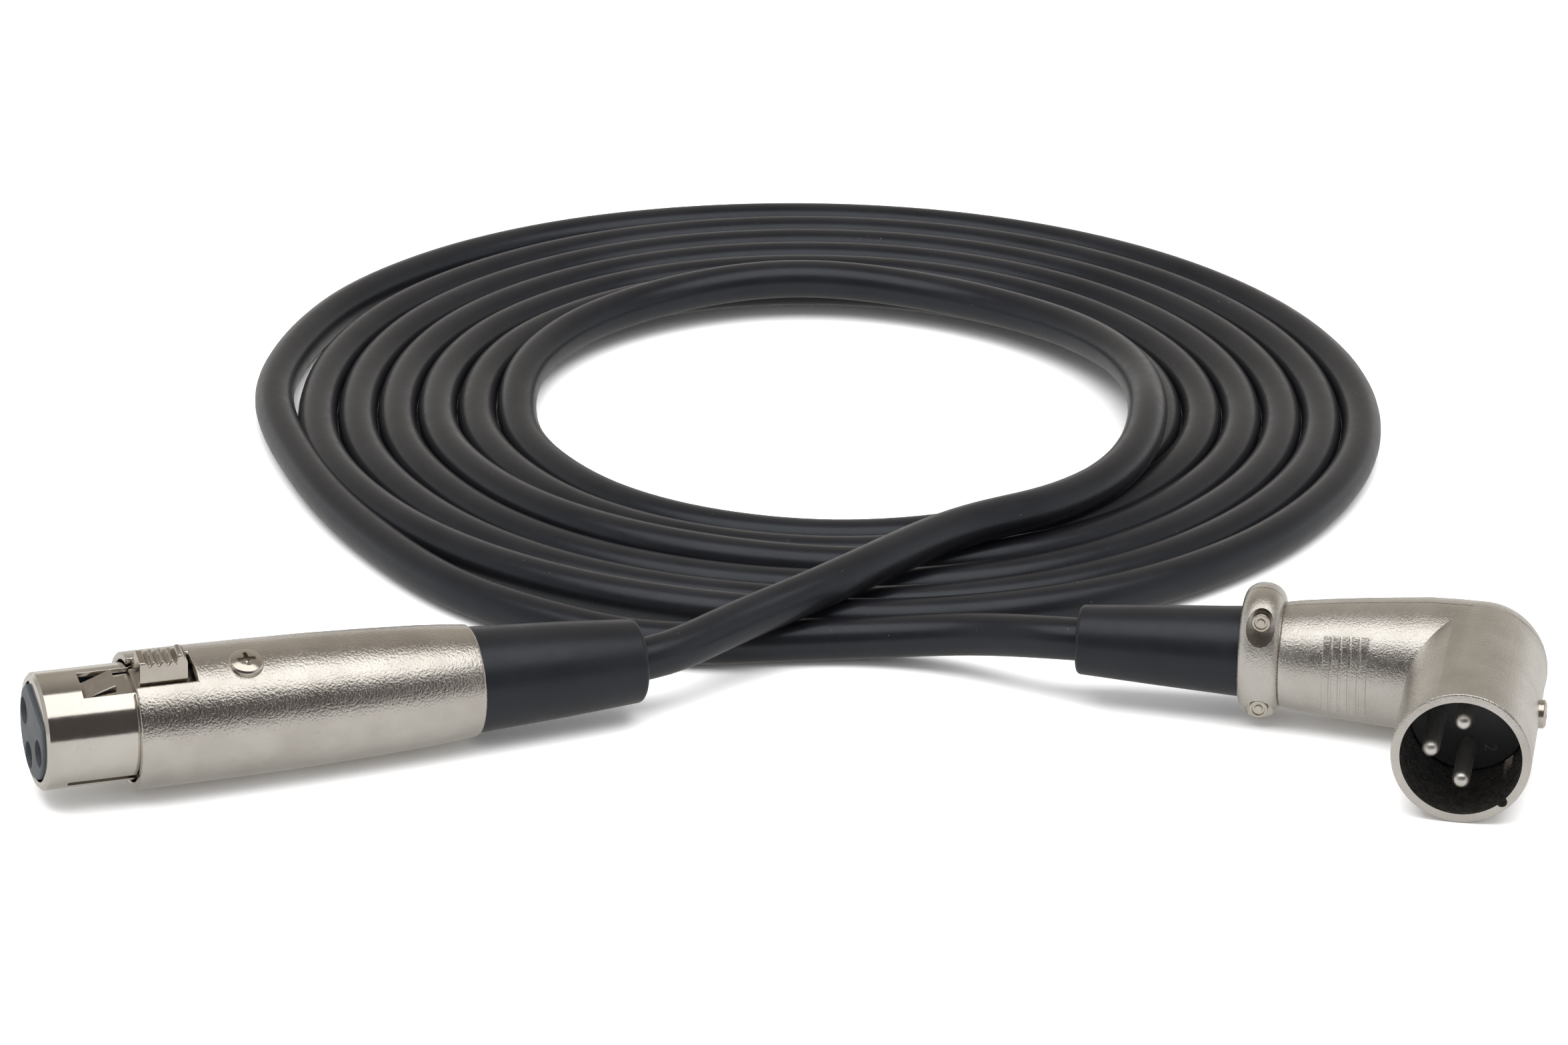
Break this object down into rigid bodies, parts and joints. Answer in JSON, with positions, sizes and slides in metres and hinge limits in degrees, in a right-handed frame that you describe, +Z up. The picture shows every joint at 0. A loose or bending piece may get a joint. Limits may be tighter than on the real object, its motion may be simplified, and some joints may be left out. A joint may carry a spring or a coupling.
{
  "type": "microphone cable coil",
  "caption": "Coiled balanced audio cable lying flat: a straight female three-pole connector with a latch at one end, a right-angled male three-pin connector at the other.",
  "frame": {"origin": "bottom centre of the box round the two connectors, on the surface that the cable lies on", "axes": "+Z up, +X along the two connectors from the female one to the male one, +Y from the connectors to the coil"},
  "size_m": [0.2054, 0.2253, 0.0212],
  "materials": {
    "satin_nickel": "satin nickel plate with a fine orange peel",
    "polished_nickel": "polished nickel plate",
    "spring_steel": "bright spring steel",
    "contact_metal": "bright plated contact",
    "insert_plastic": "satin black moulded plastic",
    "boot_rubber": "satin black rubber",
    "cable_jacket": "satin black PVC jacket",
    "wire_red": "red wire insulation",
    "wire_white": "white wire insulation",
    "wire_bare": "bare copper drain wire"
  },
  "bodies": {
    "cable": {"cable_coil": "cable_jacket", "cable_lead_female": "cable_jacket", "cable_lead_male": "cable_jacket", "female_shell": "satin_nickel", "female_sleeve": "polished_nickel", "female_insert": "insert_plastic", "socket_contact_1": "contact_metal", "socket_contact_2": "contact_metal", "socket_contact_3": "contact_metal", "latch_pin": "spring_steel", "latch_spring": "spring_steel", "female_shell_screw": "polished_nickel", "female_cable_grip": "insert_plastic", "female_boot": "boot_rubber", "female_cable_tail": "cable_jacket", "female_wire_hot": "wire_red", "female_wire_cold": "wire_white", "female_wire_shield": "wire_bare", "male_housing": "satin_nickel", "male_back_cover": "satin_nickel", "insert_screw": "polished_nickel", "male_insert": "insert_plastic", "contact_pin_1": "contact_metal", "contact_pin_2": "contact_metal", "contact_pin_3": "contact_metal", "male_wire_hot": "wire_red", "male_wire_cold": "wire_white", "male_wire_shield": "wire_bare", "clamp_front": "satin_nickel", "clamp_rear": "satin_nickel", "clamp_screw_top": "polished_nickel", "clamp_screw_bottom": "polished_nickel", "male_boot": "boot_rubber", "male_cable_tail": "cable_jacket"},
    "latch": {"latch_lever": "polished_nickel"}
  },
  "joints": [
    {"name": "latch_press", "type": "hinge", "parent": "cable", "child": "latch", "pos_m": [-0.07889, -0.01047, 0.01406], "axis": [0.3182, -0.8842, -0.3419], "range_deg": [0, 4], "stiffness_Nm_per_rad": 0.05, "springref_deg": -2.86}
  ]
}
